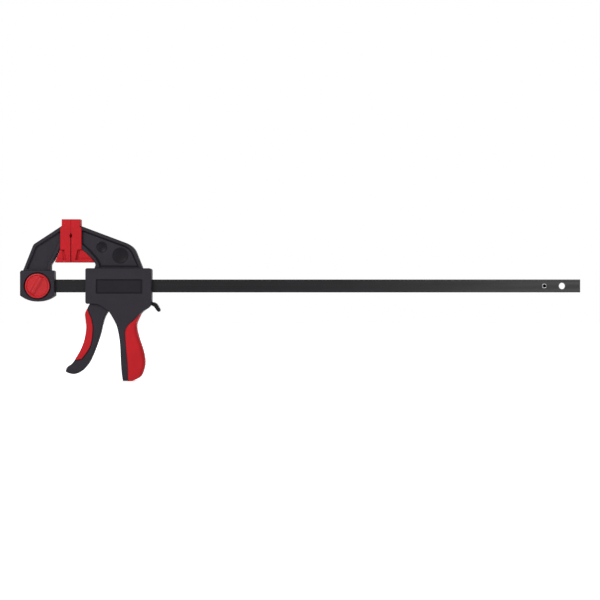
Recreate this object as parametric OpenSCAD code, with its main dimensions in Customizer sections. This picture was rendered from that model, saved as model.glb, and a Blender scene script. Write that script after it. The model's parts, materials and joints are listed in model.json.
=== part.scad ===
// Quick release bar clamp.
// X runs along the bar, away from the fixed jaw. Z points from the bar to the jaws' tips.
// The origin lies on the middle line of the bar, in the plane where the two pads meet.

/* [Bar] */
// Height of the flat steel bar
bar_height = 20; // [18:0.5:21]
// Thickness of the flat steel bar
bar_thick = 6; // [5:0.5:6]
// Length of the bar from end to end
bar_length = 865; // [400:5:1200]
// Distance from the bar's fixed end to its first lock hole
first_hole_inset = 26; // [22:1:27]
// Distance from the bar's free end to its second lock hole
hang_hole_inset = 28; // [20:1:40]
// Distance from the bar's free end to the end stop pin
stop_pin_inset = 56; // [45:1:80]

/* [Jaws] */
// Height of the pads' tips above the bar's middle line
pad_top = 102.9; // [101:0.1:110]
// Height of the pads' lower edge above the bar's middle line
pad_bottom = 36.4; // [35:0.1:38]
// Depth of a pad across the clamp
pad_depth = 24; // [22:0.5:28]
// Depth of the jaw arms over their rims
arm_depth = 19; // [17:0.5:20]
// Depth of the web between the rims
web_depth = 10; // [8:0.5:12]
// Depth of the fixed jaw's head
head_depth = 24; // [23:0.5:28]

/* [Body] */
// Depth of the body over both shells
body_depth = 30; // [30:0.5:34]
// Thickness of the shells' side walls
wall = 2.5; // [2:0.1:2.5]
// Height of the body above the bar's middle line
body_top = 27.3; // [26:0.1:29]

/* [Lock] */
// Diameter of the turn knob
knob_dia = 38; // [34:0.5:39]
// Diameter of the lock pin
lock_pin_dia = 9.9; // [9.9:0.01:9.95]
// How far the knob stands out of the head's face
knob_proud = 1.5; // [0.5:0.1:2]

/* [Mechanism] */
// Angle at which the brake plates lean on the bar
brake_lean = 8; // [7:0.5:8]
// Angle at which the drive plates lean on the bar
drive_lean = 4; // [3:0.5:4]
// Thickness of one gripping plate
plate_thick = 2.5; // [2:0.1:2.5]
// Number of turns of the drive spring
drive_turns = 7; // [5:1:9]
// Number of turns of the brake spring
brake_turns = 5; // [4:1:6]

/* [Hidden] */
$fn = 48;

// General clearances
guide_gap = 0.3;      // shells and jaw round the bar, each side
running_gap = 0.05;   // pin in bore, on the radius
pad_gap = 0.15;       // each pad's face from the clamping plane
over = 1;             // how far a cutter passes a face

// Bar
bar_end = 787.3;
bar_start = bar_end - bar_length;
lock_x = bar_start + first_hole_inset;
hang_hole_x = bar_end - hang_hole_inset;
stop_pin_x = bar_end - stop_pin_inset;
lock_hole_dia = 10;
stop_pin_dia = 7;
stop_pin_bore = 5;
stop_pin_length = 12;
bar_slot_height = bar_height + 2 * guide_gap;
bar_slot_depth = bar_thick + 2 * guide_gap;

// Head of the fixed jaw
head_left = -78.6;
head_right = -25.4;
head_top = 24;
head_side_bottom = -14.8;
head_bottom = -24.2;
knob_seat_dia = knob_dia + 4;
knob_seat_depth = 4;
knob_thick = knob_seat_depth + knob_proud - 0.3;
pin_groove_dia = 7.5;
pin_groove_width = 1.3;
washer_thick = 1;
washer_dia = 18;
washer_seat_depth = 3.2;
knob_shank_dia = 8;

// Pads
pad_side = 16.5;
pad_cap_side = 14.2;
pad_step_z = 90.6;
pad_face_wall = 4;
notch_z = 77.3;
notch_half = 4.6;
notch_depth = 2.3;
notch_web_half = 4;
lower_face_relief = 0.45;
foot_depth = 17;
tongue_half = 6;
tongue_back = 12.5;
foot_lip = 5.5;
column_half = 8.3;
foot_top = 56;

// Body
body_left = 22.6;
body_right = 124;
body_bottom = -27.7;
half_depth = body_depth / 2;
cavity_half = half_depth - wall;
end_wall = 2.6;
rib_x = 88;
rib_thick = 3;
label_left = 39;
label_right = 110.5;
label_top = 10.1;
label_bottom = -11.9;
label_deep = 1.2;
grip_core_half = 10.5;
grip_wall = 3.5;        // soft grip round the handle's core
wall_bite = 0.5;        // how far the screw posts run into the side walls
pin_bite = 1;           // how far the pins run into the side walls

// Screws. Each is [x, z].
body_screw_places = [[28.8, 20.8], [119.3, 22], [96.5, -32], [88.5, -62], [97, -127]];
jaw_screw_places = [[47.1, 60.1], [75.7, 47.1]];
dish_radii = [8.5, 12.4];
dish_deep = 0.7;
screw_dia = 3.5;
screw_head_dia = 6;
screw_head_thick = 2.2;
post_dia = 8.4;
seat_gap = 0.4;
body_screw_length = 15;
jaw_screw_length = 7;
body_screw_seat = 6;
jaw_screw_seat = 4.4;
jaw_post_dia = 11;
jaw_post_inset = 1.4;   // from the arm's rim to the posts' ends

// Trigger
trigger_pivot = [40, 17.5];
pivot_pin_dia = 5;
pivot_hub_dia = 10;
pivot_hub_gap = 0.4;
fork_half = 9.5;
fork_slot_floor = -17.2;
fork_slot_half = 3.6;
nose_centre = [47.3, -16];
nose_radius = 3;
insert_half = 9.9;
insert_core_half = 6.5;

// Drive plates and their spring
drive_x = 52;
plate_half_height = 18.5;
plate_half_depth = 10;
plate_hole_gap = 0.15;
plate_parting = 0.05;
spring_radius = 11.4;
spring_wire = 1.2;
drive_spring_start = 56.6;

// Brake
brake_pivot = [112, -26];
brake_pin_dia = 4;
brake_plate_top = 47;
brake_plate_low = 3.2;
brake_spring_z = 14;
brake_spring_radius = 2.8;
brake_spring_wire = 0.8;
lever_half = 5.5;
lever_clear_half = 6.2;

red = "firebrick";
black = [0.2, 0.2, 0.21];
steel = "silver";

// ---- Helpers ----

function unit(v) = v / norm(v);

// The arc that rounds the corner p between a and b
function corner(a, p, b, r, n) =
    let (u = unit(a - p), v = unit(b - p), half = acos(u * v) / 2)
    let (reach = r / tan(half), c = p + unit(u + v) * r / sin(half))
    let (s = p + u * reach - c, e = p + v * reach - c)
    let (from = atan2(s.y, s.x), turn = (atan2(e.y, e.x) - from + 540) % 360 - 180)
    [for (i = [0 : n]) c + r * [cos(from + turn * i / n), sin(from + turn * i / n)]];

// A closed outline of [x, z] or [x, z, radius] points, with its corners rounded
function rounded(points, n = 4) =
    let (m = len(points), flat = [for (p = points) [p[0], p[1]]])
    [for (i = [0 : m - 1]) each
        points[i][2] == undef || points[i][2] == 0 ? [flat[i]]
        : corner(flat[(i + m - 1) % m], flat[i], flat[(i + 1) % m], points[i][2], n)];

function spline_at(a, b, c, d, t) =
    0.5 * (2 * b + (c - a) * t + (2 * a - 5 * b + 4 * c - d) * t * t
        + (3 * b - a - 3 * c + d) * t * t * t);

// A smooth open curve through the given points
function smooth(p, steps = 3) =
    let (last = len(p) - 1)
    [for (i = [0 : last - 1]) for (s = [0 : steps - 1])
        spline_at(p[max(i - 1, 0)], p[i], p[i + 1], p[min(i + 2, last)], s / steps), p[last]];

// Extrudes an outline drawn in X and Z over the depths from y0 to y1
module slab(y0, y1) {
    translate([0, y1, 0]) rotate([90, 0, 0]) linear_extrude(y1 - y0) children();
}

// A round bar across the clamp, at place [x, z]
module cross_pin(place, dia, y0, y1) {
    translate([place[0], y1, place[1]]) rotate([90, 0, 0]) cylinder(d = dia, h = y1 - y0);
}

// A box given by its lowest and highest corners
module block(low, high) {
    translate(low) cube(high - low);
}

// The space that the bar needs, from x0 to x1
module bar_space(x0, x1) {
    block([x0, -bar_slot_depth / 2, -bar_slot_height / 2], [x1, bar_slot_depth / 2, bar_slot_height / 2]);
}

// The mesh of a coil spring along X that starts at the origin
module coil(length, radius, wire, turns) {
    ring_sides = 8;
    steps = 20 * turns;
    ring = [for (k = [0 : ring_sides - 1])
        [cos(k * 360 / ring_sides), sin(k * 360 / ring_sides)] * wire / 2];
    points = [for (i = [0 : steps]) for (r = ring)
        let (angle = 360 * turns * i / steps, out = radius + r.y)
        [wire / 2 + (length - wire) * i / steps + r.x, out * cos(angle), out * sin(angle)]];
    sides = [for (i = [0 : steps - 1]) for (k = [0 : ring_sides - 1])
        let (a = i * ring_sides, next = (k + 1) % ring_sides)
        [a + k, a + next, a + ring_sides + next, a + ring_sides + k]];
    first = [for (k = [ring_sides - 1 : -1 : 0]) k];
    last = [for (k = [0 : ring_sides - 1]) steps * ring_sides + k];
    polyhedron(points, concat([first], sides, [last]));
}

// ---- Bar ----

module bar() {
    color(black) difference() {
        block([bar_start, -bar_thick / 2, -bar_height / 2], [bar_end, bar_thick / 2, bar_height / 2]);
        for (x = [lock_x, hang_hole_x])
            cross_pin([x, 0], lock_hole_dia, -bar_thick, bar_thick);
        cross_pin([stop_pin_x, 0], stop_pin_dia, -bar_thick, bar_thick);
    }
}

module end_stop_pin() {
    slit = 1;
    color(steel) difference() {
        cross_pin([stop_pin_x, 0], stop_pin_dia, -stop_pin_length / 2, stop_pin_length / 2);
        cross_pin([stop_pin_x, 0], stop_pin_bore, -stop_pin_length, stop_pin_length);
        block([stop_pin_x, -stop_pin_length, -slit / 2],
            [stop_pin_x + stop_pin_dia, stop_pin_length, slit / 2]);
    }
}

// ---- Fixed jaw ----

module fixed_head_outline() {
    half_chord = (head_right - head_left) / 2;
    rise = head_side_bottom - head_bottom;
    radius = (half_chord * half_chord + rise * rise) / (2 * rise);
    centre = [head_left + half_chord, head_bottom + radius];
    reach = asin(half_chord / radius);
    arc = [for (i = [-6 : 6]) centre + radius * [sin(reach * i / 6), -cos(reach * i / 6)]];
    polygon(concat(arc, [[head_right - 0.8, head_top - 1.6], [head_right - 2.2, head_top],
        [head_left + 2.2, head_top], [head_left, head_top - 2.2]]));
}

module fixed_arm_outline() {
    polygon(rounded([[-75, 22], [-58.2, 64.1, 8], [-16.7, 91.2], [-tongue_back, 94],
        [-tongue_back, 98.2], [-pad_face_wall, 98.2], [-pad_face_wall, 44], [-tongue_back, 44],
        [-tongue_back, 62], [-17.2, 60.8], [-19, 56], [-24.6, 43.6], [-31.6, 32.6, 5], [-31.6, 22]]));
}

module fixed_arm_recess() {
    polygon(rounded([[-68.8, 26], [-54.2, 60.4, 4], [-16, 85.6], [-14, 85.6], [-14, 67], [-20, 64.6],
        [-23.6, 57.6], [-29.2, 45], [-36.4, 34, 5], [-36.4, 26]]));
}

module fixed_jaw() {
    arm_half = arm_depth / 2;
    head_half = head_depth / 2;
    color(black) difference() {
        union() {
            slab(-head_half, head_half) fixed_head_outline();
            difference() {
                fixed_arm(-arm_half, arm_half);
                slab(-arm_half - over, -web_depth / 2) fixed_arm_recess();
                slab(web_depth / 2, arm_half + over) fixed_arm_recess();
            }
        }
        bar_space(bar_start - over, head_right + over);
        cross_pin([lock_x, 0], knob_seat_dia, -head_half - over, -head_half + knob_seat_depth);
        cross_pin([lock_x, 0], lock_pin_dia + 2 * running_gap, -head_half, head_half);
        cross_pin([lock_x, 0], washer_dia + 2, head_half - washer_seat_depth, head_half + over);
    }
}

// Outline of a pad. side is -1 for the fixed jaw's pad and 1 for the sliding jaw's, and foot is the
// curve of the foot's edge from the column down to its tip.
module pad_outline(side, foot) {
    face = side * pad_gap;
    relief = side * (pad_gap + lower_face_relief);
    polygon(concat(
        [[face, pad_top], [face, notch_z], [relief, notch_z], [relief, pad_bottom]],
        [for (i = [len(foot) - 1 : -1 : 0]) foot[i]],
        [[side * pad_side, pad_step_z], [side * pad_cap_side, pad_step_z], [side * pad_cap_side, pad_top]]));
}

// A pad: the tall column, with a set-back foot and a lip along the foot's edge
module pad(side, foot) {
    half = pad_depth / 2;
    foot_half = foot_depth / 2;
    far = side * 60;
    pocket_x = side * column_half;
    difference() {
        slab(-half, half) pad_outline(side, foot);
        for (y = [-half - over, foot_half])
            slab(y, y + half - foot_half + over)
                polygon([[pocket_x, pad_bottom + foot_lip], [side * (column_half + 2.5), foot_top - 1],
                    [side * pad_side, foot_top], [far, foot_top], [far, pad_bottom + foot_lip]]);
        // V notches that hold a round bar upright between the pads, with a web left between them
        for (y = [-half - over, notch_web_half])
            slab(y, y + half - notch_web_half + over)
                polygon([[-side, notch_z + notch_half], [side * pad_gap, notch_z + notch_half],
                    [side * notch_depth, notch_z], [side * pad_gap, notch_z - notch_half],
                    [-side, notch_z - notch_half]]);
    }
}

// Trims the sides of an arm's tongue, which the pad slips over
module tongue_trim(side) {
    for (y = [-arm_depth, tongue_half])
        slab(y, y + arm_depth - tongue_half)
            translate([side > 0 ? 0 : -tongue_back, pad_bottom])
                square([tongue_back, pad_top - pad_bottom]);
}

module fixed_arm(y0, y1) {
    difference() {
        slab(y0, y1) fixed_arm_outline();
        tongue_trim(-1);
    }
}

module sliding_arm(y0, y1) {
    difference() {
        slab(y0, y1) sliding_arm_outline();
        tongue_trim(1);
    }
}

fixed_foot = [[-16.7, 56], [-20.4, 47], [-24.4, 38], [-24.4, 36.4]];
sliding_foot = concat(smooth([[16.7, 55.6], [22, 51.6], [29, 45], [35, 38.7]], 3), [[36.6, 36.4]]);

module fixed_jaw_pad() {
    color(red) difference() {
        pad(-1, fixed_foot);
        fixed_arm(-arm_depth / 2, arm_depth / 2);
    }
}

module sliding_jaw_pad() {
    color(red) difference() {
        pad(1, sliding_foot);
        sliding_arm(-arm_depth / 2, arm_depth / 2);
    }
}

// ---- Quick-change lock ----

module lock_knob() {
    back = -head_depth / 2 + knob_seat_depth - 0.3;
    face = back - knob_thick;
    ridge_tilt = 60;
    ridge_high = 1.6;
    ridge_wide = 6;
    ridge_root = 0.5;
    ridge_long = knob_dia - 5;
    color(red) difference() {
        union() {
            cross_pin([lock_x, 0], knob_dia, face, back);
            translate([lock_x, 0, 0]) rotate([0, -ridge_tilt, 0])
                rotate([90, 0, 90]) translate([0, 0, -ridge_long / 2])
                    linear_extrude(ridge_long)
                        polygon([[face + ridge_root, -ridge_wide / 2], [face + ridge_root, ridge_wide / 2],
                            [face - ridge_high, 0.6], [face - ridge_high, -0.6]]);
        }
        cross_pin([lock_x, 0], knob_shank_dia, back - 3, back + over);
    }
}

module lock_pin() {
    head_half = head_depth / 2;
    knob_end = -head_half + knob_seat_depth - 3.3;
    groove = head_half - washer_seat_depth + washer_thick + 0.1;
    color(steel) difference() {
        union() {
            cross_pin([lock_x, 0], knob_shank_dia, knob_end, -head_half + knob_seat_depth + 1);
            cross_pin([lock_x, 0], lock_pin_dia, -head_half + knob_seat_depth + 0.1, head_half - 0.2);
        }
        difference() {
            cross_pin([lock_x, 0], lock_pin_dia + 2, groove, groove + pin_groove_width);
            cross_pin([lock_x, 0], pin_groove_dia, groove - over, groove + pin_groove_width + over);
        }
    }
}

module lock_washer() {
    seat = head_depth / 2 - washer_seat_depth;
    color(steel) difference() {
        cross_pin([lock_x, 0], washer_dia, seat + 0.05, seat + washer_thick);
        cross_pin([lock_x, 0], lock_pin_dia + 0.2, seat - over, seat + 2 * washer_thick);
    }
}

module lock_clip() {
    groove = head_depth / 2 - washer_seat_depth + washer_thick + 0.15;
    clip_dia = 14;
    mouth_half = 2.9;
    color(steel) difference() {
        cross_pin([lock_x, 0], clip_dia, groove, groove + 1.2);
        cross_pin([lock_x, 0], pin_groove_dia + 0.1, groove - over, groove + 2 * over);
        block([lock_x - mouth_half, groove - over, -clip_dia], [lock_x + mouth_half, groove + 2 * over, 0]);
    }
}

// ---- Body shells ----

// Front edge of the handle, from the body's lower edge down
handle_front = smooth([[58.6, -39], [63.4, -46.5], [70, -59], [73.6, -72], [76, -90], [77.2, -115],
    [78.7, -134], [80.5, -146.4]], 3);
// Back edge of the handle, from the bottom up
handle_back = smooth([[95, -146.7], [107, -140], [112.8, -126], [113.6, -113], [110, -96],
    [103.7, -77.5], [100.8, -64], [102.2, -52.5], [108.8, -40.8], [118.4, -34]], 3);
// Lower edge of the body over the trigger
body_lower = smooth([[36, -27.6], [43, -29], [49, -32.4], [54.5, -36.6], [58.6, -39]], 3);

// Body and handle without the jaw arm
module body_outline() {
    polygon(concat(
        rounded([[body_left, body_bottom, 3.4], [body_left, body_top, 2.6],
            [body_right, body_top, 3], [body_right, -30.4, 2]], 4),
        [for (i = [len(handle_back) - 1 : -1 : 0]) handle_back[i]],
        [for (i = [len(handle_front) - 1 : -1 : 0]) handle_front[i]],
        [for (i = [len(body_lower) - 2 : -1 : 0]) body_lower[i]]));
}

module sliding_arm_outline() {
    polygon(rounded([[tongue_back, 93.8], [17, 92], [86.5, 65.9, 30], [94.4, 61.4, 22], [99.4, 55, 22],
        [111, 26], [35.4, 26], [37.8, 32.5, 4], [35.4, 38.4, 6], [26, 48.5, 30], [17, 56.2],
        [tongue_back, 60], [tongue_back, 44], [pad_face_wall, 44], [pad_face_wall, 98.2],
        [tongue_back, 98.2]], 5));
}

module sliding_arm_recess() {
    polygon(rounded([[14, 85.6], [20, 85.4], [83, 62, 28], [90.6, 57.4, 16], [95, 51.6, 16], [105, 29.2],
        [43.6, 29.2], [43.2, 34, 5], [38.6, 42, 8], [27.5, 54.5, 20], [17.4, 63.6], [14, 66]], 5));
}

// The rear part of the handle, which the soft grip covers
grip_edge = smooth([[107, -43.2], [98, -52.6], [89.6, -59.8], [84.8, -67.6], [84, -76], [85.3, -93],
    [86.8, -111], [88.2, -128], [88.4, -147]], 3);

module grip_outline() {
    polygon(concat(grip_edge, [for (i = [0 : len(handle_back) - 8]) handle_back[i]]));
}

// The part of it that stays hard inside the soft grip
module grip_core_outline() {
    intersection() {
        grip_outline();
        translate([-grip_wall, 0]) grip_outline();
        translate([0, grip_wall]) grip_outline();
    }
}

// The hollow inside the block of the body
module cavity_outline() {
    polygon([[body_left + end_wall, body_bottom + end_wall], [body_left + end_wall, body_top - end_wall],
        [body_right - end_wall, body_top - end_wall], [body_right - end_wall, -28.4],
        [117, -31.4], [103, -32.6], [rib_x + rib_thick, body_bottom + end_wall]]);
}

// The hollow that the trigger swings in, open at the bottom and at the front of the handle
module trigger_space_outline() {
    polygon([[body_left + end_wall, body_bottom + end_wall + over], [24.6, -62], [77.5, -88], [79, -64],
        [79, -45], [77, body_bottom + end_wall + over]]);
}

// The slot that the release lever leaves through
module lever_slot() {
    block([body_right - 2 * end_wall, -lever_clear_half, -40], [body_right + over, lever_clear_half, -22.5]);
    block([115, -lever_clear_half, -40], [body_right, lever_clear_half, -28]);
}

module screw_posts(y0, y1) {
    for (place = body_screw_places)
        cross_pin(place, post_dia, y0, y1);
}

// Both shells in one, still without screw holes. outer is 1 at the back and -1 at the front.
module shell_half(outer) {
    body_span = outer > 0 ? [0, half_depth] : [-half_depth, 0];
    cavity_span = outer > 0 ? [-over, cavity_half] : [-cavity_half, over];
    arm_span = outer > 0 ? [0, arm_depth / 2] : [-arm_depth / 2, 0];
    recess_span = outer > 0 ? [web_depth / 2, arm_depth] : [-arm_depth, -web_depth / 2];
    core_span = outer > 0 ? [0, grip_core_half] : [-grip_core_half, 0];
    post_span = outer > 0 ? [0, cavity_half + wall_bite] : [-cavity_half - wall_bite, 0];
    hub_start = fork_half + pivot_hub_gap;
    hub_span = outer > 0 ? [hub_start, post_span[1]] : [post_span[0], -hub_start];
    difference() {
        union() {
            difference() {
                slab(body_span[0], body_span[1]) difference() {
                    body_outline();
                    grip_outline();
                }
                slab(cavity_span[0], cavity_span[1]) cavity_outline();
                slab(cavity_span[0], cavity_span[1]) trigger_space_outline();
            }
            // Core of the handle inside the soft grip
            slab(core_span[0], core_span[1]) grip_core_outline();
            // Rib that guides the bar and carries the drive spring
            block([rib_x, body_span[0] + (outer > 0 ? 0 : 1), body_bottom + 1],
                [rib_x + rib_thick, body_span[1] - (outer > 0 ? 1 : 0), body_top - 1]);
            screw_posts(post_span[0], post_span[1]);
            cross_pin(trigger_pivot, pivot_hub_dia, hub_span[0], hub_span[1]);
            // Jaw arm, a ribbed beam
            difference() {
                sliding_arm(arm_span[0], arm_span[1]);
                slab(recess_span[0], recess_span[1]) sliding_arm_recess();
            }
        }
        bar_space(body_left - over, body_right + over);
        cross_pin(trigger_pivot, pivot_pin_dia, -cavity_half - pin_bite, cavity_half + pin_bite);
        cross_pin(brake_pivot, brake_pin_dia, -cavity_half - pin_bite, cavity_half + pin_bite);
        lever_slot();
    }
}

module front_shell() {
    color(black) difference() {
        shell_half(-1);
        // Bare recess where a label would sit
        slab(-half_depth - over, -half_depth + label_deep)
            polygon(rounded([[label_left, label_bottom, 1], [label_right, label_bottom, 1],
                [label_right, label_top, 1], [label_left, label_top, 1]], 3));
        // Shallow dishes over the closed ends of the jaw's screw posts
        for (i = [0, 1])
            cross_pin(jaw_screw_places[i], 2 * dish_radii[i], -web_depth, -web_depth / 2 + dish_deep);
        for (place = body_screw_places)
            cross_pin(place, screw_dia, body_screw_seat - body_screw_length, over);
        for (place = jaw_screw_places)
            cross_pin(place, screw_dia, jaw_screw_seat - jaw_screw_length, over);
    }
}

module rear_shell() {
    color(black) difference() {
        union() {
            shell_half(1);
            for (place = jaw_screw_places)
                cross_pin(place, jaw_post_dia, 0, arm_depth / 2 - jaw_post_inset);
        }
        for (place = body_screw_places) {
            cross_pin(place, screw_dia, -over, half_depth);
            cross_pin(place, screw_head_dia + seat_gap, body_screw_seat, half_depth + over);
        }
        for (place = jaw_screw_places) {
            cross_pin(place, screw_dia, -over, arm_depth);
            cross_pin(place, screw_head_dia + seat_gap, jaw_screw_seat, arm_depth);
        }
    }
}

module handle_grip() {
    half = half_depth - 0.3;
    color(red) difference() {
        slab(-half, half) grip_outline();
        slab(-grip_core_half, grip_core_half) grip_core_outline();
        for (place = body_screw_places) {
            cross_pin(place, post_dia, -cavity_half - wall_bite, cavity_half + wall_bite);
            cross_pin(place, screw_head_dia + seat_gap, 0, half_depth + over);
        }
    }
}

// ---- Screws and pins ----

// A pan head screw with a cross recess, seated at depth y and pointing towards the front
module screw(place, seat, length) {
    cross_long = 4;
    cross_wide = 0.9;
    cross_deep = 1.3;
    head_face = seat + screw_head_thick;
    difference() {
        union() {
            cross_pin(place, screw_dia, seat - length, seat + 0.5);
            cross_pin(place, screw_head_dia, seat, head_face);
        }
        for (size = [[cross_long, cross_wide], [cross_wide, cross_long]])
            translate([place[0] - size[0] / 2, head_face - cross_deep, place[1] - size[1] / 2])
                cube([size[0], cross_deep + over, size[1]]);
    }
}

module body_screws() {
    color(steel) for (place = body_screw_places)
        screw(place, body_screw_seat, body_screw_length);
}

module jaw_screws() {
    color(steel) for (place = jaw_screw_places)
        screw(place, jaw_screw_seat, jaw_screw_length);
}

module trigger_pivot_pin() {
    color(steel) cross_pin(trigger_pivot, pivot_pin_dia, -cavity_half - pin_bite, cavity_half + pin_bite);
}

module brake_pivot_pin() {
    color(steel) cross_pin(brake_pivot, brake_pin_dia, -cavity_half - pin_bite, cavity_half + pin_bite);
}

// ---- Trigger ----

// Finger side of the lever, from the body down to the end of the soft insert
trigger_left = smooth([[28.4, -28.4], [24.6, -35.8], [21.4, -43.4], [22.2, -53], [23.1, -64],
    [21.6, -76.5], [18.2, -89.2], [12.6, -102], [5.4, -114.6]], 3);
// Rounded end of the lever
trigger_tip = smooth([[5.4, -114.6], [0.6, -120.6], [-5.6, -124.8], [-7.9, -129.4], [-7.4, -133.2],
    [2, -136.2], [10, -135], [18.3, -129.8]], 3);
// Side of the lever that faces the handle, from the end up
trigger_right = smooth([[18.3, -129.8], [26.2, -120.4], [32.2, -109.4], [39.4, -91.6], [45.4, -72.4],
    [48.5, -58.6], [51, -50], [53.8, -44], [56.8, -39.6]], 3);
// Edge between the soft insert and the lever
insert_edge = smooth([[25, -35.2], [27.4, -42.4], [30.8, -50.4], [33, -60], [33.2, -70],
    [32.2, -81], [29.6, -92.4], [24.6, -101.6], [16.4, -112.6]], 3);

module trigger_outline() {
    polygon(concat(trigger_left,
        [for (i = [1 : len(trigger_tip) - 2]) trigger_tip[i]], trigger_right,
        [[56, -33.5], [51.6, -30], [47, -29]]));
    polygon([[28.4, -28.4], [47, -31], [47, -15], [46, 17.5], [34, 17.5], [33, -15], [30.5, -24]]);
    translate(trigger_pivot) circle(r = 6.6);
    translate(nose_centre) circle(r = nose_radius);
}

module insert_outline() {
    polygon(concat([for (i = [4 : len(trigger_left) - 1]) trigger_left[i]],
        [for (i = [len(insert_edge) - 1 : -1 : 0]) insert_edge[i]]));
}

// Core of the lever under the soft insert
module insert_core_outline() {
    intersection() {
        insert_outline();
        translate([3.2, 0]) insert_outline();
    }
}

module trigger_lever() {
    color(black) difference() {
        union() {
            slab(-fork_half, fork_half) difference() {
                trigger_outline();
                insert_outline();
            }
            slab(-insert_core_half, insert_core_half) insert_core_outline();
        }
        // Fork slot for the bar
        block([20, -fork_slot_half, fork_slot_floor], [60, fork_slot_half, 30]);
        cross_pin(trigger_pivot, pivot_pin_dia + 2 * running_gap, -fork_half - over, fork_half + over);
    }
}

module trigger_grip() {
    color(red) difference() {
        slab(-insert_half, insert_half) insert_outline();
        slab(-insert_core_half, insert_core_half) insert_core_outline();
    }
}

// ---- Gripping plates ----

// One flat plate with a window for the bar, standing on its own frame: X is its thickness
module grip_plate(x, low, high, window_low, window_high) {
    window_half = bar_thick / 2 + guide_gap;
    difference() {
        block([x, -plate_half_depth, low], [x + plate_thick, plate_half_depth, high]);
        block([x - over, -window_half, window_low], [x + plate_thick + over, window_half, window_high]);
    }
}

module drive_plates() {
    half_window = (bar_height / 2 + plate_hole_gap + plate_thick * sin(drive_lean)) / cos(drive_lean);
    color(steel) translate([drive_x, 0, 0]) rotate([0, -drive_lean, 0]) {
        for (x = [-plate_thick - plate_parting, plate_parting])
            grip_plate(x, -plate_half_height, plate_half_height, -half_window, half_window);
    }
}

module brake_plates() {
    skew = plate_thick * sin(brake_lean);
    window_low = (-brake_pivot[1] - bar_height / 2 - plate_hole_gap - skew) / cos(brake_lean);
    window_high = (-brake_pivot[1] + bar_height / 2 + plate_hole_gap + skew) / cos(brake_lean);
    color(steel) translate([brake_pivot[0], 0, brake_pivot[1]]) rotate([0, -brake_lean, 0]) {
        for (x = [-plate_thick - plate_parting, plate_parting])
            grip_plate(x, brake_plate_low, brake_plate_top, window_low, window_high);
    }
}

// Upper edge of the release lever, from the hub to the tip, and its lower edge back
lever_upper = smooth([[118, -23.4], [124, -24.6], [130.6, -26.2], [134, -30], [137.6, -36.6]], 3);
lever_lower = smooth([[137, -39.2], [134.4, -40], [131.4, -37.3], [128.6, -33.2], [124, -30.2],
    [116, -29.4]], 3);

module release_lever() {
    groove_places = [[131.3, -26.5], [133.6, -29.4], [135.5, -32.6], [137, -35.8]];
    groove_dia = 1.1;
    hub_dia = 7;
    socket_half = plate_thick + 1.8;
    socket_top = 7;
    color(black) difference() {
        union() {
            slab(-lever_half, lever_half) difference() {
                polygon(concat([[113, -23.2]], lever_upper, lever_lower, [[113, -28.8]]));
                for (place = groove_places)
                    translate(place) circle(d = groove_dia, $fn = 8);
            }
            // Hub, with the socket that holds the plates' lower ends
            slab(-plate_half_depth, plate_half_depth) translate(brake_pivot) rotate(brake_lean) {
                circle(d = hub_dia, $fn = 12);
                translate([-socket_half, 0]) square([2 * socket_half, socket_top]);
            }
        }
        translate([brake_pivot[0], 0, brake_pivot[1]]) rotate([0, -brake_lean, 0])
            block([-plate_thick - plate_parting, -plate_half_depth - over, brake_plate_low],
                [plate_thick + plate_parting, plate_half_depth + over, socket_top + over]);
        cross_pin(brake_pivot, brake_pin_dia + 2 * running_gap, -plate_half_depth - over,
            plate_half_depth + over);
    }
}

// ---- Springs ----

module drive_spring() {
    color(steel) translate([drive_spring_start, 0, 0])
        coil(rib_x - drive_spring_start - 0.05, spring_radius, spring_wire, drive_turns);
}

module brake_spring() {
    plate_face = brake_pivot[0] + plate_thick / cos(brake_lean)
        - (brake_spring_z - brake_spring_radius - 1 - brake_pivot[1]) * tan(brake_lean);
    color(steel) translate([plate_face + 0.1, 0, brake_spring_z])
        coil(body_right - end_wall - plate_face - 0.2, brake_spring_radius, brake_spring_wire, brake_turns);
}

bar();
end_stop_pin();
fixed_jaw();
fixed_jaw_pad();
lock_knob();
lock_pin();
lock_washer();
lock_clip();
front_shell();
rear_shell();
sliding_jaw_pad();
handle_grip();
body_screws();
jaw_screws();
trigger_pivot_pin();
brake_pivot_pin();
brake_spring();
trigger_lever();
trigger_grip();
drive_plates();
drive_spring();
brake_plates();
release_lever();
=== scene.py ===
import json
import math

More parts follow.
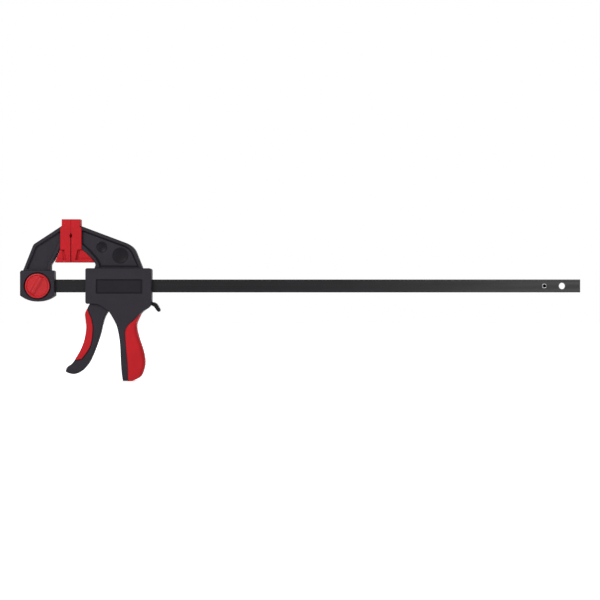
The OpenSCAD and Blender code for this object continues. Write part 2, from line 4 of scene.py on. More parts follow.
import bmesh
import bpy
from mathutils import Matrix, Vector


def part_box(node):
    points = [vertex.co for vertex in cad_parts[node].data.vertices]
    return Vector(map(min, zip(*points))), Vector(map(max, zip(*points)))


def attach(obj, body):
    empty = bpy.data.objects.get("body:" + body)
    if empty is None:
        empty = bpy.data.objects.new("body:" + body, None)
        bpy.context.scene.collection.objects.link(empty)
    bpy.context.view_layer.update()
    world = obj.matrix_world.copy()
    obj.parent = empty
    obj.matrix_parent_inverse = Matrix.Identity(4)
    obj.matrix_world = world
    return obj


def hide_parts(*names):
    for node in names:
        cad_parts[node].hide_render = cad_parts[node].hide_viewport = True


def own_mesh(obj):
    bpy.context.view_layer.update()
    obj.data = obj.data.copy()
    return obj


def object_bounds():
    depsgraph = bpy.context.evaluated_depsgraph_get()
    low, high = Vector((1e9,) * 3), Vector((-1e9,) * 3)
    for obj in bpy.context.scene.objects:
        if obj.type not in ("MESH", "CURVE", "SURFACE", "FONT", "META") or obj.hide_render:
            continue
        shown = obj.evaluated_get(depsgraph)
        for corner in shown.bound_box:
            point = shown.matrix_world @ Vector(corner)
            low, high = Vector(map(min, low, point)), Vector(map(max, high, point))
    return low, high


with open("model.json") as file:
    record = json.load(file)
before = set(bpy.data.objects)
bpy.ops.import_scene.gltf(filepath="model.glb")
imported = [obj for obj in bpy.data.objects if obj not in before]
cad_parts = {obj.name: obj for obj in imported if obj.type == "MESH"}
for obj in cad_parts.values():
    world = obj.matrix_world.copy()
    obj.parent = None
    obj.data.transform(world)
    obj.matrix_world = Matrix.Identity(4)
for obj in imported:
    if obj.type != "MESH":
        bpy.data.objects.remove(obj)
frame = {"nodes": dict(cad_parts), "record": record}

BOX_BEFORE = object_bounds()
MM = 0.001

# The body and the material slot of each CAD node
BODY_OF = {node: body for body, nodes in frame["record"]["behaviour"]["bodies"].items() for node in nodes}
SLOT_OF = {row["node"]: row["material_slot"] for row in frame["record"]["subparts"]}

# ---- Materials ----


def nodes_of(name):
    """A new material, its node tree, its Principled shader and the object's own coordinates."""
    material = bpy.data.materials.new(name)
    material.use_nodes = True
    tree = material.node_tree
    shader = tree.nodes["Principled BSDF"]
    place = tree.nodes.new("ShaderNodeTexCoord").outputs["Object"]
    return material, tree, shader, place


def noise(tree, place, scale, detail=3.0, stretch=(1, 1, 1)):
    """Noise over the object's own coordinates, stretched along an axis where stretch is small."""
    mapping = tree.nodes.new("ShaderNodeMapping")
    mapping.inputs["Scale"].default_value = stretch
    texture = tree.nodes.new("ShaderNodeTexNoise")
    texture.inputs["Scale"].default_value = scale
    texture.inputs["Detail"].default_value = detail
    tree.links.new(place, mapping.inputs["Vector"])
    tree.links.new(mapping.outputs["Vector"], texture.inputs["Vector"])
    return texture.outputs["Fac"]


def spread(tree, value, low, high):
    """Maps noise, which lies mostly between 0.3 and 0.7, to the range from low to high."""
    remap = tree.nodes.new("ShaderNodeMapRange")
    remap.inputs["From Min"].default_value = 0.3
    remap.inputs["From Max"].default_value = 0.7
    remap.inputs["To Min"].default_value = low
    remap.inputs["To Max"].default_value = high
    tree.links.new(value, remap.inputs["Value"])
    return remap.outputs["Result"]


def tint(tree, value, dark, light):
    """A colour that goes from dark to light with value."""
    mix = tree.nodes.new("ShaderNodeMix")
    mix.data_type = "RGBA"
    mix.inputs["A"].default_value = (*dark, 1)
    mix.inputs["B"].default_value = (*light, 1)
    tree.links.new(value, mix.inputs["Factor"])
    return mix.outputs["Result"]


def bump(tree, shader, height, depth, strength):
    """Roughens the surface by depth in metres."""
    node = tree.nodes.new("ShaderNodeBump")
    node.inputs["Strength"].default_value = strength
    node.inputs["Distance"].default_value = depth
    tree.links.new(height, node.inputs["Height"])
    tree.links.new(node.outputs["Normal"], shader.inputs["Normal"])


def moulded(name, colour, roughness, grain, specular):
    """Moulded plastic or rubber: slow colour drift, fine grain in gloss and relief."""
    drift_scale, gloss_range, relief, relief_strength = 35, 0.06, 0.00005, 0.4
    darker, lighter = 0.93, 1.07
    material, tree, shader, place = nodes_of(name)
    dark = [c * darker for c in colour]
    light = [c * lighter for c in colour]
    drift = noise(tree, place, drift_scale)
    fine = noise(tree, place, grain)
    tree.links.new(tint(tree, spread(tree, drift, 0, 1), dark, light), shader.inputs["Base Color"])
    gloss = spread(tree, fine, roughness - gloss_range, roughness + gloss_range)
    tree.links.new(gloss, shader.inputs["Roughness"])
    shader.inputs["Specular IOR Level"].default_value = specular
    bump(tree, shader, fine, relief, relief_strength)
    return material


def metal(name, colour, roughness, stretch, specular=0.5, metallic=1.0):
    """Drawn or turned steel: lines along the direction in which stretch is small."""
    drift_scale, line_scale, line_detail = 25, 60, 5.0
    gloss_range, relief, relief_strength = 0.08, 0.00002, 0.5
    darker, lighter = 0.85, 1.12
    material, tree, shader, place = nodes_of(name)
    dark = [c * darker for c in colour]
    light = [c * lighter for c in colour]
    lines = noise(tree, place, line_scale, line_detail, stretch)
    drift = noise(tree, place, drift_scale)
    tree.links.new(tint(tree, spread(tree, drift, 0, 1), dark, light), shader.inputs["Base Color"])
    gloss = spread(tree, lines, roughness - gloss_range, roughness + gloss_range)
    tree.links.new(gloss, shader.inputs["Roughness"])
    shader.inputs["Metallic"].default_value = metallic
    shader.inputs["Specular IOR Level"].default_value = specular
    bump(tree, shader, lines, relief, relief_strength)
    return material


MATERIALS = {
    "blackened_steel": metal("blackened_steel", (0.0085, 0.0082, 0.0096), 0.34, (0.05, 8, 8), 0.14, 0.0),
    "black_nylon": moulded("black_nylon", (0.028, 0.0245, 0.032), 0.6, 900, 0.08),
    # Darker, glossier nylon: the release lever's own colour, and painted shade on groove floors and dish
    # hollows
    "dark_nylon_and_painted_shade": moulded("dark_nylon_and_painted_shade", (0.0088, 0.0076, 0.0104), 0.4, 400, 0.08),
    "label_nylon": moulded("label_nylon", (0.0145, 0.0125, 0.017), 0.5, 600, 0.08),
    "red_soft": moulded("red_soft", (0.475, 0.0115, 0.017), 0.62, 1100, 0.12),
    "red_nylon": moulded("red_nylon", (0.475, 0.0085, 0.013), 0.32, 700, 0.28),
    "bright_steel": metal("bright_steel", (0.6, 0.6, 0.6), 0.3, (1, 1, 1)),
    "hardened_steel": metal("hardened_steel", (0.3, 0.3, 0.31), 0.38, (1, 1, 0.1)),
    "spring_steel": metal("spring_steel", (0.45, 0.45, 0.46), 0.3, (1, 1, 1)),
}

# ---- Smooth shading and rounded edges ----

# Edges that turn by more than this stay sharp
SHARP = math.radians(40)
# A mitre is divided by its cosine, but by no less than this, so that sharp corners don't shoot out
MITRE_LIMIT = 0.6
# The rings of a rounded rim, from the wall at 0 to the face at 90 degrees
RIM_ANGLES = [math.radians(angle) for angle in (30, 60, 90)]


def smooth_by_angle():
    """A modifier tree that shades every face smooth and keeps edges over the sharp angle."""
    tree = bpy.data.node_groups.new("smooth_by_angle", "GeometryNodeTree")
    tree.interface.new_socket("Geometry", in_out="INPUT", socket_type="NodeSocketGeometry")
    tree.interface.new_socket("Geometry", in_out="OUTPUT", socket_type="NodeSocketGeometry")
    add = tree.nodes.new
    start, end = add("NodeGroupInput"), add("NodeGroupOutput")
    angle, compare = add("GeometryNodeInputMeshEdgeAngle"), add("FunctionNodeCompare")
    compare.operation = "LESS_THAN"
    compare.inputs["B"].default_value = SHARP
    faces, edges = add("GeometryNodeSetShadeSmooth"), add("GeometryNodeSetShadeSmooth")
    edges.domain = "EDGE"
    join = tree.links.new
    join(start.outputs[0], faces.inputs["Geometry"])
    join(faces.outputs[0], edges.inputs["Geometry"])
    join(angle.outputs["Unsigned Angle"], compare.inputs["A"])
    join(compare.outputs[0], edges.inputs["Shade Smooth"])
    join(edges.outputs[0], end.inputs[0])
    return tree


SMOOTH = smooth_by_angle()


def shade(piece):
    """Shades a piece smooth between its sharp edges, with flat faces kept flat."""
    piece.modifiers.new("shade", "NODES").node_group = SMOOTH
    piece.modifiers.new("normals", "WEIGHTED_NORMAL").keep_sharp = True


def dress(node, width):
    """Keeps a CAD node's own shape, with bevels of this width in millimetres on its sharp edges."""
    part = frame["nodes"][node]
    part.modifiers.new("weld", "WELD").merge_threshold = 0.01 * MM
    flat = part.modifiers.new("flat", "DECIMATE")
    flat.decimate_type = "DISSOLVE"
    flat.angle_limit = math.radians(1)
    edge = part.modifiers.new("edge", "BEVEL")
    edge.width = width * MM
    edge.segments = 2
    edge.angle_limit = SHARP
    shade(part)


def add_piece(name, mesh, node):
    """Adds a piece that stands for a CAD node: same body, same material slot."""
    piece = bpy.data.objects.new(name, mesh)
    bpy.context.collection.objects.link(piece)
    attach(piece, BODY_OF[node])
    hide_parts(node)
    mesh.materials.clear()
    mesh.materials.append(MATERIALS[SLOT_OF[node]])
    return piece


def solid(name, vertices, faces):
    """A closed mesh from points in millimetres."""
    mesh = bpy.data.meshes.new(name)
    mesh.from_pydata([Vector(point) * MM for point in vertices], [], faces)
    shape = bmesh.new()
    shape.from_mesh(mesh)
    bmesh.ops.recalc_face_normals(shape, faces=shape.faces)
    if shape.calc_volume(signed=True) < 0:
        bmesh.ops.reverse_faces(shape, faces=shape.faces)
    shape.to_mesh(mesh)
    shape.free()
    return mesh


def modelled(name, node, vertices, faces):
    """A new piece that stands for a CAD node."""
    return add_piece(name, solid(name, vertices, faces), node)


def cut(piece, tool):
    """Cuts the object tool out of a piece, after the piece's modifiers, and removes it."""
    change = piece.modifiers.new("cut", "BOOLEAN")
    change.object = tool
    change.solver = "EXACT"
    result = piece.evaluated_get(bpy.context.evaluated_depsgraph_get())
    piece.data = bpy.data.meshes.new_from_object(result)
    piece.modifiers.clear()
    bpy.data.objects.remove(tool)


def tool_of(vertices, faces):
    """A cutter from points in millimetres."""
    tool = bpy.data.objects.new("cutter", solid("cutter", vertices, faces))
    bpy.context.collection.objects.link(tool)
    return tool


def prism(outline, y0, y1):
    """A cutter: an outline of [x, z] points, extruded from y0 to y1."""
    count = len(outline)
    vertices = [(x, y, z) for y in (y0, y1) for x, z in outline]
    faces = [tuple(range(count)), tuple(range(count, 2 * count))[::-1]]
    faces += [(i, i + count, (i + 1) % count + count, (i + 1) % count) for i in range(count)]
    return tool_of(vertices, faces)


def circle(centre, radius, sides=48):
    """A round outline of [x, z] points."""
    return [(centre[0] + radius * math.cos(math.tau * i / sides),
        centre[1] + radius * math.sin(math.tau * i / sides)) for i in range(sides)]


def outline_of(*nodes, depth=None):
    """The outline of the nodes' faces at a depth together, as [x, z] in millimetres, from the CAD.

    Without a depth they are the front faces.
    """
    uses = {}
    for node in nodes:
        mesh = frame["nodes"][node].data
        level = min(vertex.co.y for vertex in mesh.vertices) if depth is None else depth * MM
        for face in mesh.polygons:
            corners = [mesh.vertices[i].co for i in face.vertices]
            if all(abs(corner.y - level) < 0.01 * MM for corner in corners):
                points = [(round(corner.x / MM, 2), round(corner.z / MM, 2)) for corner in corners]
                for edge in zip(points, points[1:] + points[:1]):
                    uses[tuple(sorted(edge))] = uses.get(tuple(sorted(edge)), 0) + 1
    ends = {}
    for edge in (edge for edge, count in uses.items() if count == 1):
        for point, other in (edge, edge[::-1]):
            ends.setdefault(point, []).append(other)
    loops = []
    while ends:
        point = next(iter(ends))
        loop = []
        while point in ends:
            loop.append(point)
            following = [other for other in ends.pop(point) if other in ends]
            point = following[0] if following else None
        loops.append(loop)
    return max(loops, key=lambda loop: max(x for x, z in loop) - min(x for x, z in loop))


def inward(outline):
    """The direction that points into an outline at each of its corners, longer at sharp ones."""
    turn = sum(a[0] * b[1] - b[0] * a[1] for a, b in zip(outline, outline[1:] + outline[:1]))
    side = 1 if turn > 0 else -1
    ways = []
    for i, here in enumerate(outline):
        before, after = outline[i - 1], outline[(i + 1) % len(outline)]
        u = Vector((here[0] - before[0], here[1] - before[1])).normalized()
        v = Vector((after[0] - here[0], after[1] - here[1])).normalized()
        normal = Vector((-u.y - v.y, u.x + v.x)).normalized() * side
        ways.append(normal / max(abs(normal.dot(Vector((-u.y, u.x)))), MITRE_LIMIT))
    return ways


def inset(outline, by):
    """An outline moved inward by so many millimetres."""
    return [(x + way.x * by, z + way.y * by) for (x, z), way in zip(outline, inward(outline))]


def pillow(name, node, outline, radius_at, front, back):
    """A solid with rounded rims, everything in millimetres.

    The outline's points are [x, z], radius_at(x, z) is the radius of the rim there, and front and
    back are the faces' places along Y.
    """
    rings = 6
    ways = inward(outline)
    radii = [radius_at(x, z) for x, z in outline]
    middle = (front + back) / 2
    half = (back - front) / 2
    arc = [math.radians(90 * k / rings) for k in range(rings + 1)]
    steps = [(1, angle) for angle in reversed(arc)] + [(-1, angle) for angle in arc]
    count = len(outline)
    vertices = []
    for face, angle in steps:
        for (x, z), way, radius in zip(outline, ways, radii):
            shift = radius * (1 - math.cos(angle))
            depth = half - radius * (1 - math.sin(angle))
            vertices.append((x + way.x * shift, middle - face * depth, z + way.y * shift))
    faces = [(ring + i, ring + (i + 1) % count, ring + (i + 1) % count + count, ring + i + count)
        for ring in range(0, (len(steps) - 1) * count, count) for i in range(count)]
    faces.append(tuple(range(count)))
    faces.append(tuple(range((len(steps) - 1) * count, len(steps) * count)))
    return modelled(name, node, vertices, faces)


def fade(value, low, high):
    """0 below low, 1 above high, and a smooth step between."""
    share = min(max((value - low) / (high - low), 0), 1)
    return share * share * (3 - 2 * share)


def lens(place, radius, y, depth):
    """A cutter that hollows a round dish into a face at y that looks to the front."""
    around, rings, smallest_ring, stand_out = 64, 8, 0.05, 3
    ball = (radius * radius + depth * depth) / (2 * depth)
    widest = math.asin(radius / ball)
    vertices = []
    for k in range(rings, -1, -1):
        reach = ball * math.sin(widest * k / rings)
        deep = depth - ball * (1 - math.cos(widest * k / rings))
        vertices += [(x, y + deep, z) for x, z in circle(place, max(reach, smallest_ring), around)]
    vertices = [(x, y - stand_out, z) for x, z in circle(place, radius, around)] + vertices
    faces = [tuple(range(around)), tuple(range((rings + 1) * around, (rings + 2) * around))]
    for ring in range(0, (rings + 1) * around, around):
        faces += [(ring + i, ring + (i + 1) % around, ring + around + (i + 1) % around,
            ring + around + i) for i in range(around)]
    return tool_of(vertices, faces)


def clean_copy(node, shortest=0.02):
    """A copy of a CAD node with flat faces in one piece and no edge shorter than so many mm."""
    shape = bmesh.new()
    shape.from_mesh(frame["nodes"][node].data)
    bmesh.ops.remove_doubles(shape, verts=shape.verts, dist=shortest * MM)
    bmesh.ops.dissolve_limit(shape, angle_limit=math.radians(0.5), verts=shape.verts,
        edges=shape.edges)
    mesh = bpy.data.meshes.new(node + "_moulded")
    shape.to_mesh(mesh)
    shape.free()
    return add_piece(node + "_moulded", mesh, node)


def rim_radius(corner, radius_at):
    """The radius in metres at a corner of a rim, under half of the wall's height below it."""
    along_y, share_of_wall = 0.9, 0.45
    walls = [edge.calc_length() for edge in corner.link_edges
        if abs(edge.verts[0].co.y - edge.verts[1].co.y) > along_y * edge.calc_length()]
    wish = radius_at(corner.co.x / MM, corner.co.z / MM) * MM
    return min([wish] + [share_of_wall * wall for wall in walls])


def round_rims(shape, level, radius_at):
    """Rounds the rims of the faces of a bmesh that look along Y at a depth in millimetres.

    All radii are worked out before the first corner moves, because they depend on the walls.
    """
    flat, same_level = 0.99, 0.01
    side = math.copysign(1, level)
    faces = [face for face in shape.faces if face.normal.y * side > flat
        and abs(face.calc_center_median().y / MM - level) < same_level]
    rims = [loop for face in faces for loop in face.loops
        if any(other not in faces for other in loop.edge.link_faces)]
    ways = {}
    for loop in rims:
        along = loop.link_loop_next.vert.co - loop.vert.co
        for corner in (loop.vert, loop.link_loop_next.vert):
            ways.setdefault(corner, []).append(loop.face.normal.cross(along).normalized())
    radii = {corner: rim_radius(corner, radius_at) for corner in ways}
    rings = {}
    for corner, radius in radii.items():
        way = sum(ways[corner], Vector()).normalized()
        way /= max(way.dot(ways[corner][0]), MITRE_LIMIT)
        top = corner.co.copy()
        corner.co.y -= side * radius
        rings[corner] = [corner]
        for angle in RIM_ANGLES:
            place = top + way * radius * (1 - math.cos(angle))
            place.y -= side * radius * (1 - math.sin(angle))
            rings[corner].append(shape.verts.new(place))
    for loop in rims:
        a, b = rings[loop.vert], rings[loop.link_loop_next.vert]
        for k in range(len(a) - 1):
            shape.faces.new((a[k], b[k], b[k + 1], a[k + 1]))
    for face in faces:
        shape.faces.new([rings[corner][-1] if corner in rings else corner for corner in face.verts])
    bmesh.ops.delete(shape, geom=faces, context="FACES_ONLY")


def soften(piece, levels, radius_at, tools=()):
    """Rounds the rims of a piece at these depths, then cuts it with the tools.

    radius_at takes a place on a rim as x and z and gives the radius there, all in millimetres.
    """
    shape = bmesh.new()
    shape.from_mesh(piece.data)
    for level in levels:
        round_rims(shape, level, radius_at)
    bmesh.ops.remove_doubles(shape, verts=shape.verts, dist=0.005 * MM)
    shape.to_mesh(piece.data)
    shape.free()
    if "custom_normal" in piece.data.attributes:
        piece.data.attributes.remove(piece.data.attributes["custom_normal"])
    for tool in tools:
        cut(piece, tool)
    shade(piece)


# Bevels of the CAD nodes that keep their own shape, in millimetres
BEVELS = {"bar": 0.8, "end_stop_pin": 0.3, "lock_pin": 0.3, "lock_washer": 0.15, "lock_clip": 0.15,
    "body_screws": 0.2, "jaw_screws": 0.2, "trigger_pivot_pin": 0.3, "brake_pivot_pin": 0.3,
    "drive_plates": 0.2, "brake_plates": 0.2}

for node, part in frame["nodes"].items():
    part.data.materials.clear()
    part.data.materials.append(MATERIALS[SLOT_OF[node]])
for node, width in BEVELS.items():
    dress(node, width)

# ---- Turn knob ----


def turn_knob():
    """A rimmed disc with a slanted grip ridge, gentle on its left side and steep on its right."""
    low, high = (Vector(corner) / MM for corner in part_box("lock_knob"))
    radius = (high.x - low.x) / 2
    centre = (low + high) / 2
    thick, rim_round, back_edge = 5.2, 1.3, 0.6
    face = high.y - thick
    # The basin inside the rim, and how far its slope starts and ends from the knob's edge
    basin, basin_start, basin_end = 1.5, 3.4, 2.2
    # The ridge: its direction, place, height, flat half width, flanks and sloped ends
    tilt = math.radians(60)
    crest, ridge_high, flat_half, gentle, steep = -1.1, 3, 0.3, 6.5, 6.2
    ridge_fades, ridge_ends = 6.5, 2.6
    spokes, ring_step = 160, 0.4
    rings = [ring_step * k for k in range(1, int((radius - rim_round) / ring_step) + 1)]

    def height(x, z):
        """How far the knob's face stands out at a place, from its centre."""
        along = x * math.cos(tilt) + z * math.sin(tilt)
        across = x * math.sin(tilt) - z * math.cos(tilt) - crest
        flank = 1 - fade(abs(across), flat_half, steep if across > 0 else gentle)
        ends = 1 - fade(abs(along), radius - ridge_fades, radius - ridge_ends)
        floor = -basin * (1 - fade(math.hypot(x, z), radius - basin_start, radius - basin_end))
        return floor + ridge_high * flank * ends

    vertices = [(centre.x, face - height(0, 0), centre.z)]
    for r in rings:
        for k in range(spokes):
            x, z = (r * f(math.tau * k / spokes) for f in (math.cos, math.sin))
            vertices.append((centre.x + x, face - height(x, z), centre.z + z))
    arc = [math.radians(15 * k) for k in range(1, 7)]
    side = [(radius - rim_round * (1 - math.sin(a)), face + rim_round * (1 - math.cos(a))) for a in arc]
    side += [(radius, high.y - back_edge), (radius - back_edge, high.y)]
    for r, y in side:
        for k in range(spokes):
            angle = math.tau * k / spokes
            vertices.append((centre.x + r * math.cos(angle), y, centre.z + r * math.sin(angle)))
    faces = [(0, 1 + k, 1 + (k + 1) % spokes) for k in range(spokes)]
    bands = len(rings) + len(side)
    for band in range(bands - 1):
        start = 1 + band * spokes
        faces += [(start + k, start + (k + 1) % spokes, start + (k + 1) % spokes + spokes,
            start + k + spokes) for k in range(spokes)]
    faces.append(tuple(1 + (bands - 1) * spokes + k for k in range(spokes)))
    shade(modelled("turn_knob", "lock_knob", vertices, faces))


turn_knob()

# ---- Places and depths of the CAD, in millimetres ----

# Screws through the rear shell, of which the last two pass through the handle grip: [x, z]
BODY_SCREWS = [(28.8, 20.8), (119.3, 22), (96.5, -32), (88.5, -62), (97, -127)]
HANDLE_SCREWS = BODY_SCREWS[3:]
# Dishes on the web of the sliding arm: [x, z, radius]
DISHES = [(47.1, 60.1, 8.5), (75.7, 47.1, 12.4)]
# Half depths of the arms, of the fixed jaw's head and the pads, and of the body
ARM, HEAD, BODY = 9.5, 12, 15
# Depths of the front's sunk faces: the arms' webs, the dishes and the label recess
WEB, DISH, LABEL = -5, -4.4, -13.8
# How deep the grooves along the web and the label, and the dishes' hollows, go below those
WEB_GROOVE, LABEL_GROOVE, HOLLOW = 1.6, 0.7, 1.2
# The knob's axis, and how far the fine rims round it reach
KNOB_X, KNOB_REACH = -51.7, 22

# ---- Pads, release lever ----


def pad_radius(x, z):
    """Soft outer edges, and finer ones where the pads meet."""
    meeting_half, fine, soft = 4, 0.25, 1.3
    return fine if abs(x) < meeting_half else soft


def pad_groove(side):
    """The groove between a pad's column and its foot, on both faces."""
    outline = [(side * x, z) for x, z in ((6.6, 40), (11.9, 40), (13.8, 56), (10, 56))]
    floor, outside = 6.8, HEAD + 1
    return prism(outline, -outside, -floor), prism(outline, floor, outside)


PAD_SHORTEST = 0.6
soften(clean_copy("fixed_jaw_pad", PAD_SHORTEST), (-HEAD, HEAD), pad_radius, pad_groove(-1))
soften(clean_copy("sliding_jaw_pad", PAD_SHORTEST), (-HEAD, HEAD), pad_radius, pad_groove(1))
release = clean_copy("release_lever")
release.data.materials[0] = MATERIALS["dark_nylon_and_painted_shade"]
soften(release, [corner[1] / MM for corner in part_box("release_lever")], lambda x, z: 0.8)

# ---- Jaw and shells ----

# Radii of the rims in tight places, on the fixed jaw and on the shells
FINE_RIM, JAW_RIM, SHELL_RIM = 0.4, 1.3, 1.4


def jaw_radius(x, z):
    """Round rims, but fine ones round the knob and under the arm's recess, and none at the pad."""
    under_recess = 25.5 < z < 27
    at_pad = x > -22 and z > 54
    if math.hypot(x - KNOB_X, z) < KNOB_REACH or under_recess:
        return FINE_RIM
    return 0 if at_pad else JAW_RIM


def shell_radius(x, z):
    """Round rims, but fine ones round the label and under the arm's recess, and none at the pad
    or the grip's tip."""
    at_label = 38 < x < 112 and -13 < z < 11
    under_recess = 28.5 < z < 31
    at_pad = x < 22 and z > 54
    at_grip_tip = x > 98 and z < -34
    if at_label or under_recess:
        return FINE_RIM
    return 0 if at_pad or at_grip_tip else SHELL_RIM


def rear_radius(x, z):
    """As shell_radius, but fine round the screws."""
    reach = 8
    near = min(math.hypot(x - screw_x, z - screw_z) for screw_x, screw_z in BODY_SCREWS)
    return min(shell_radius(x, z), FINE_RIM if near < reach else SHELL_RIM)


def near(level):
    """The range of depths that holds a flat floor."""
    return level - 0.1, level + 0.1


def floors(piece, depths, name):
    """Gives the faces that look to the front in these ranges of depth a material of their own, such as a
    darker nylon that paints shade on groove floors and hollows.
    """
    to_front = -0.8
    piece.data.materials.append(MATERIALS[name])
    for face in piece.data.polygons:
        y = face.center.y / MM
        if face.normal.y < to_front and any(low < y < high for low, high in depths):
            face.material_index = len(piece.data.materials) - 1


# How far a groove's cutter stands out past the recess's border and above its floor
OUTSIDE, ABOVE = 0.2, 0.3


def ring(outer, inner, y0, y1):
    """A cutter for a groove between two outlines."""
    over = 1
    tool = prism(outer, y0, y1)
    cut(tool, prism(inner, y0 - over, y1 + over))
    return tool


def web_groove(node):
    """The groove along the border of a jaw arm's web."""
    wide = 2.5
    outline = outline_of(node, depth=WEB)
    return ring(inset(outline, -OUTSIDE), inset(outline, wide), WEB - ABOVE, WEB + WEB_GROOVE)


def label_groove():
    """The groove along the border of the bare label recess."""
    side_wide, top_wide = 2.6, 2.2
    outline = outline_of("front_shell", depth=LABEL)
    x = [min(x for x, z in outline) + side_wide, max(x for x, z in outline) - side_wide]
    z = [min(z for x, z in outline) + top_wide, max(z for x, z in outline) - top_wide]
    floor = [(x[0], z[0]), (x[1], z[0]), (x[1], z[1]), (x[0], z[1])]
    return ring(inset(outline, -OUTSIDE), floor, LABEL - ABOVE, LABEL + LABEL_GROOVE)


def dish(x, z, radius):
    """The hollow of a dish, inside its narrow border."""
    border = 0.4
    return lens((x, z), radius - border, DISH, HOLLOW)


jaw = clean_copy("fixed_jaw")
soften(jaw, (-HEAD, -ARM, ARM, HEAD), jaw_radius, [web_groove("fixed_jaw")])
# The web groove's floor gets the darker nylon as painted shade
floors(jaw, [near(WEB + WEB_GROOVE)], "dark_nylon_and_painted_shade")
front = clean_copy("front_shell")
soften(front, (-BODY, -ARM), shell_radius, [dish(*place) for place in DISHES]
    + [web_groove("front_shell"), label_groove()])
# The dish hollows and the floors of the web and label grooves get the darker nylon as painted shade
hollows_and_web_groove = (-4.5, -2.5)
floors(front, [hollows_and_web_groove, near(LABEL + LABEL_GROOVE)], "dark_nylon_and_painted_shade")
floors(front, [near(LABEL)], "label_nylon")
soften(clean_copy("rear_shell"), (ARM, BODY), rear_radius)

# ---- Grip, trigger and its insert ----

# Half depths of the handle grip, the trigger lever and its insert
GRIP_HALF, LEVER_HALF, INSERT_HALF = 14.7, 9.5, 9.9


def grip_radius(x, z):
    """Sharp against the shell in front, full and round at the back of the hand."""
    at_top, more_below, more_behind = 0.1, 0.7, 5.4
    edge = at_top + more_below * fade(-z, 46, 60)
    return edge + more_behind * fade(x, 92, 104) * fade(-z, 44, 70) * fade(z, -146, -132)


grip = pillow("handle_grip_soft", "handle_grip", outline_of("handle_grip"), grip_radius,
    -GRIP_HALF, GRIP_HALF)
screw_hole = 3.2
for place in HANDLE_SCREWS:
    cut(grip, prism(circle(place, screw_hole), 0, BODY + 1))
shade(grip)


def lever_radius(x, z):
    """Fine rims at the fork, rounder ones down the lever."""
    at_fork, more_below = 0.5, 1.7
    return at_fork + more_below * fade(-z, 30, 44)


def on_finger_side(x, z):
    """Whether a place on the insert's outline is on the side that the fingers pull."""
    middle_x, middle_z, lean = 24.5, -60, 0.12
    return x < middle_x + lean * (z - middle_z)


def insert_radius(x, z):
    """Round to the fingers, fine against the lever and at both ends."""
    fine, more_at_fingers = 0.6, 2.6
    off_ends = fade(-z, 36, 52) * fade(z, -112, -98)
    return fine + more_at_fingers * off_ends if on_finger_side(x, z) else fine


lever = pillow("trigger_moulded", "trigger_lever", outline_of("trigger_lever", "trigger_grip"),
    lever_radius, -LEVER_HALF, LEVER_HALF)
# The pockets on both faces, which leave a groove round the insert
pocket_gap, pocket_floor, outside_lever = 1.5, 7.5, 12
pocket = inset(outline_of("trigger_grip"), -pocket_gap)
cut(lever, prism(pocket, -outside_lever, -pocket_floor))
cut(lever, prism(pocket, pocket_floor, outside_lever))
# The insert's bed between the pockets, open to the fingers
past_fingers, bed_half = 5, 7.6
bed = [(x - past_fingers, z) if on_finger_side(x, z) else (x, z)
    for x, z in outline_of("trigger_grip")]
cut(lever, prism(bed, -bed_half, bed_half))
# The fork's slot for the bar, and the bore for the pivot pin
fork_slot, fork_slot_half = [(20, -17.2), (60, -17.2), (60, 30), (20, 30)], 3.6
cut(lever, prism(fork_slot, -fork_slot_half, fork_slot_half))
pivot, pivot_bore, past_fork = (40, 17.5), 2.55, 11
cut(lever, prism(circle(pivot, pivot_bore), -past_fork, past_fork))
shade(lever)
insert = pillow("trigger_insert", "trigger_grip", outline_of("trigger_grip"), insert_radius,
    -INSERT_HALF, INSERT_HALF)
shade(insert)

# ---- Springs ----


def coil(name, node, start, end, centre, radius, wire, turns):
    """A coil spring along X, in millimetres, its ends cut square."""
    around, steps = 12, 32
    vertices, faces = [], []
    rings = steps * turns + 1
    for i in range(rings):
        angle = math.tau * i / steps
        x = start + wire / 2 + (end - start - wire) * i / (rings - 1)
        for k in range(around):
            turn = math.tau * k / around
            out = radius + wire / 2 * math.sin(turn)
            vertices.append((x + wire / 2 * math.cos(turn), centre[0] + out * math.cos(angle),
                centre[1] + out * math.sin(angle)))
    for i in range(rings - 1):
        faces += [(i * around + k, i * around + (k + 1) % around, (i + 1) * around + (k + 1) % around,
            (i + 1) * around + k) for k in range(around)]
    faces += [tuple(range(around)), tuple(range((rings - 1) * around, rings * around))]
    piece = modelled(name, node, vertices, faces)
    shade(piece)
    return piece


def spring(node, centre, radius, wire, turns):
    """A spring that fills its CAD node's length.
    """
    low, high = (Vector(corner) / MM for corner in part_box(node))
    piece = coil(node + "_coil", node, low.x, high.x, centre, radius, wire, turns)
    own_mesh(piece)


spring("drive_spring", centre=(0, 0), radius=11.4, wire=1.2, turns=7)
spring("brake_spring", centre=(0, 14), radius=2.8, wire=0.8, turns=5)

# ---- Stage: floor, background, lamps and camera ----


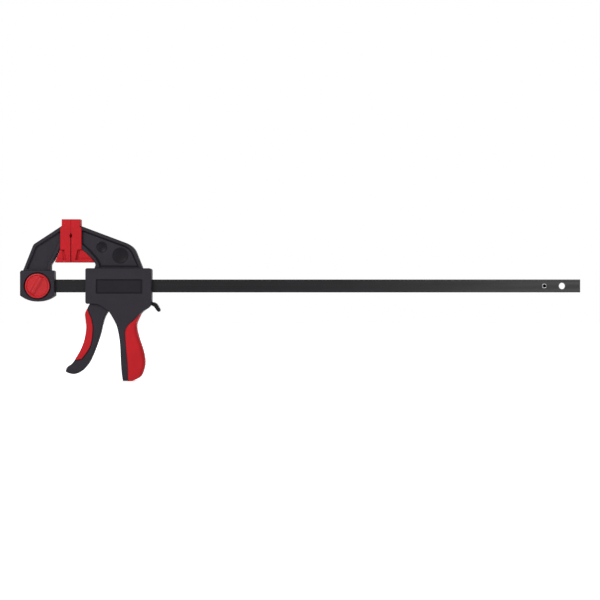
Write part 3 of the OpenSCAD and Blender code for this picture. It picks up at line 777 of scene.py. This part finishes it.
def pale_floor():
    """A white floor that keeps the shadows, with light of its own for the camera, more far away."""
    reach, level = 6, BOX_BEFORE[0][2]
    # The floor's own light, from near the object's middle to far away
    middle, near, far, near_light, far_light = (0.35, 0, level), 0.6, 2.5, 0.62, 1.0
    mesh = bpy.data.meshes.new("floor")
    corners = [(-reach, -reach), (reach, -reach), (reach, reach), (-reach, reach)]
    mesh.from_pydata([(x, y, level) for x, y in corners], [], [(0, 1, 2, 3)])
    floor = bpy.data.objects.new("floor", mesh)
    bpy.context.collection.objects.link(floor)
    material, tree, shader, place = nodes_of("floor")
    shader.inputs["Base Color"].default_value = (0.8, 0.8, 0.8, 1)
    shader.inputs["Roughness"].default_value = 0.9
    shader.inputs["Emission Color"].default_value = (1, 1, 1, 1)
    distance = tree.nodes.new("ShaderNodeVectorMath")
    distance.operation = "DISTANCE"
    distance.inputs[1].default_value = middle
    tree.links.new(place, distance.inputs[0])
    own_light = tree.nodes.new("ShaderNodeMapRange")
    own_light.inputs["From Min"].default_value = near
    own_light.inputs["From Max"].default_value = far
    own_light.inputs["To Min"].default_value = near_light
    own_light.inputs["To Max"].default_value = far_light
    tree.links.new(distance.outputs["Value"], own_light.inputs["Value"])
    seen = tree.nodes.new("ShaderNodeMath")
    seen.operation = "MULTIPLY"
    tree.links.new(own_light.outputs["Result"], seen.inputs[0])
    tree.links.new(seen_directly(tree, 0.0, 1.0), seen.inputs[1])
    tree.links.new(seen.outputs[0], shader.inputs["Emission Strength"])
    mesh.materials.append(material)


def seen_directly(tree, otherwise, seen):
    """The value seen for camera, glossy and transmission rays, and otherwise for the rest."""
    path = tree.nodes.new("ShaderNodeLightPath")
    total = path.outputs["Is Camera Ray"]
    for ray in ("Is Glossy Ray", "Is Transmission Ray"):
        add = tree.nodes.new("ShaderNodeMath")
        add.operation = "MAXIMUM"
        tree.links.new(total, add.inputs[0])
        tree.links.new(path.outputs[ray], add.inputs[1])
        total = add.outputs[0]
    remap = tree.nodes.new("ShaderNodeMapRange")
    remap.inputs["To Min"].default_value = otherwise
    remap.inputs["To Max"].default_value = seen
    tree.links.new(total, remap.inputs["Value"])
    return remap.outputs["Result"]


def white_background():
    """A world that looks white and lights the object only a little."""
    ambient = 0.22
    world = bpy.data.worlds.new("studio")
    world.use_nodes = True
    tree = world.node_tree
    background = tree.nodes["Background"]
    background.inputs["Color"].default_value = (1, 1, 1, 1)
    tree.links.new(seen_directly(tree, ambient, 1.0), background.inputs["Strength"])
    bpy.context.scene.world = world


def soft_lamp(name, place, aim, size, watts):
    """A round soft lamp at a place, turned to a point, in metres."""
    lamp = bpy.data.lights.new(name, "AREA")
    lamp.shape = "DISK"
    lamp.size = size
    lamp.energy = watts
    holder = bpy.data.objects.new(name, lamp)
    holder.location = place
    turn = (holder.location - Vector(aim)).to_track_quat("Z", "Y")
    holder.rotation_euler = turn.to_euler()
    bpy.context.collection.objects.link(holder)


pale_floor()
white_background()
soft_lamp("key", place=(-0.9, -2.2, 1.2), aim=(0.2, 0, 0), size=1.2, watts=40)
soft_lamp("fill", place=(1.25, -2.6, 0.05), aim=(0.5, 0, 0), size=0.5, watts=18)
soft_lamp("back", place=(0.5, 2.4, 1.5), aim=(0.3, 0, 0), size=1.4, watts=44)

# The point in the middle of the photo, and how far away its camera stood, in metres
photo_x, photo_z, camera_distance = 0.3536, -0.02175, 2.583
camera = bpy.data.objects.new("camera", bpy.data.cameras.new("camera"))
camera.location = (photo_x, -camera_distance, photo_z)
camera.rotation_euler = (math.radians(90), 0, 0)
camera.data.lens = 100
camera.data.sensor_width = 36
bpy.context.collection.objects.link(camera)
scene = bpy.context.scene
scene.camera = camera
scene.view_settings.view_transform = "Standard"
